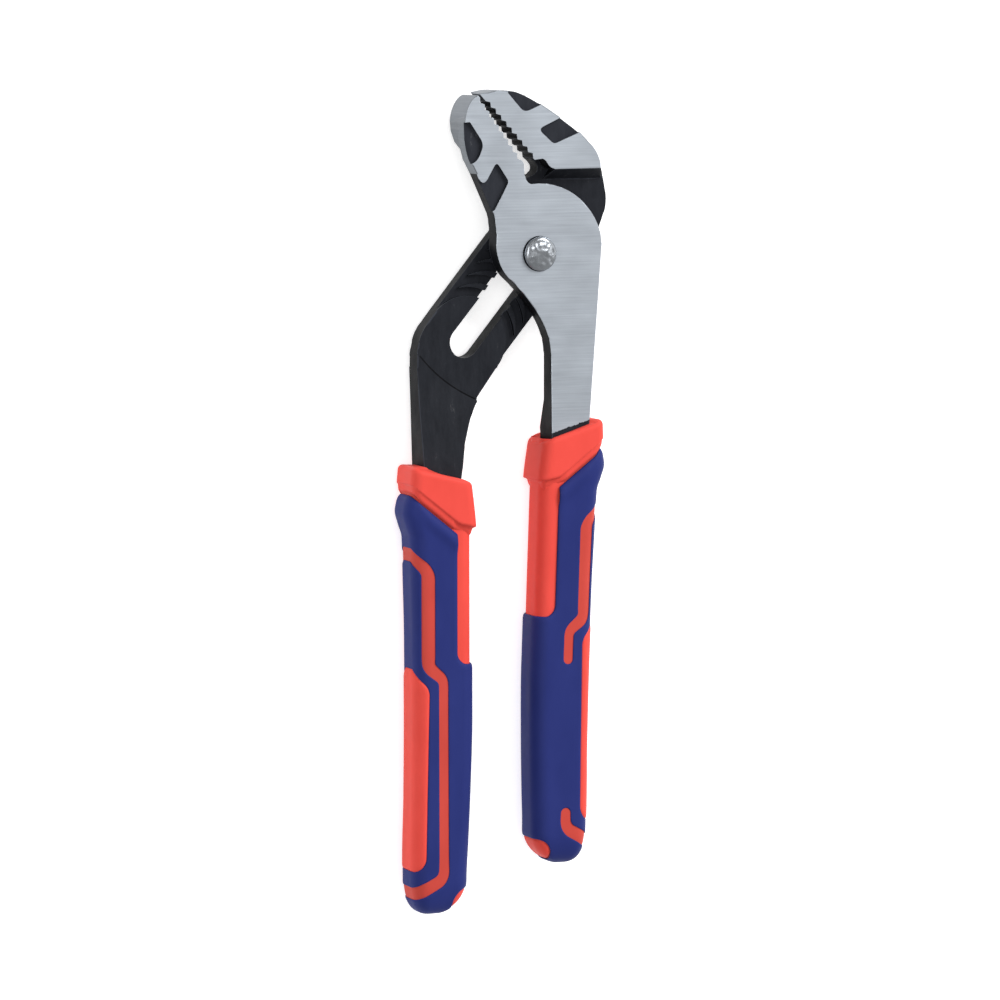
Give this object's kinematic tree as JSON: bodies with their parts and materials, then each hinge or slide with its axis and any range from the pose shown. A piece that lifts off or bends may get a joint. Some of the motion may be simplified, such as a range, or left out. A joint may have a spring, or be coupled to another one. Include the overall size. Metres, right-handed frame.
{
  "type": "water pump pliers",
  "caption": "Groove-joint water pump pliers: two forged handles crossing at a bolt that shifts along a slot, toothed slanting jaws and two-colour moulded grips.",
  "frame": {"origin": "middle of the underside of the part's box, with the pliers lying on their back, jaws closed on the narrowest setting", "axes": "+Y along the tool from the grips to the jaws, +Z out of the polished side, along the bolt from its nut to its domed head"},
  "size_m": [0.0687, 0.2501, 0.0197],
  "materials": {
    "front_forging": "ground and lightly brushed face, dark forged sides",
    "rear_forging": "dark forged scale, ground and lightly brushed jaw face",
    "zinc_hardware": "bright zinc plating",
    "red_moulding": "satin moulded plastic",
    "blue_moulding": "matt soft moulding"
  },
  "bodies": {
    "pivot_side": {"pivot_handle": "front_forging", "right_grip_core": "red_moulding", "right_grip_shell": "blue_moulding"},
    "pivot": {"pivot_bolt": "zinc_hardware", "guide_bush": "zinc_hardware", "rear_washer": "zinc_hardware", "pivot_nut": "zinc_hardware"},
    "slotted_side": {"slotted_handle": "rear_forging", "left_grip_core": "red_moulding", "left_grip_shell": "blue_moulding", "left_grip_island": "blue_moulding"}
  },
  "joints": [
    {"name": "jaw_pivot", "type": "hinge", "parent": "pivot_side", "child": "pivot", "pos_m": [0.0094, 0.0756, 0.0114], "axis": [0, 0, -1], "range_deg": [0, 50]},
    {"name": "slot_slide", "type": "slide", "parent": "pivot", "child": "slotted_side", "axis": [0.6401, 0.7683, 0], "range_m": [0, 0.0288]}
  ]
}
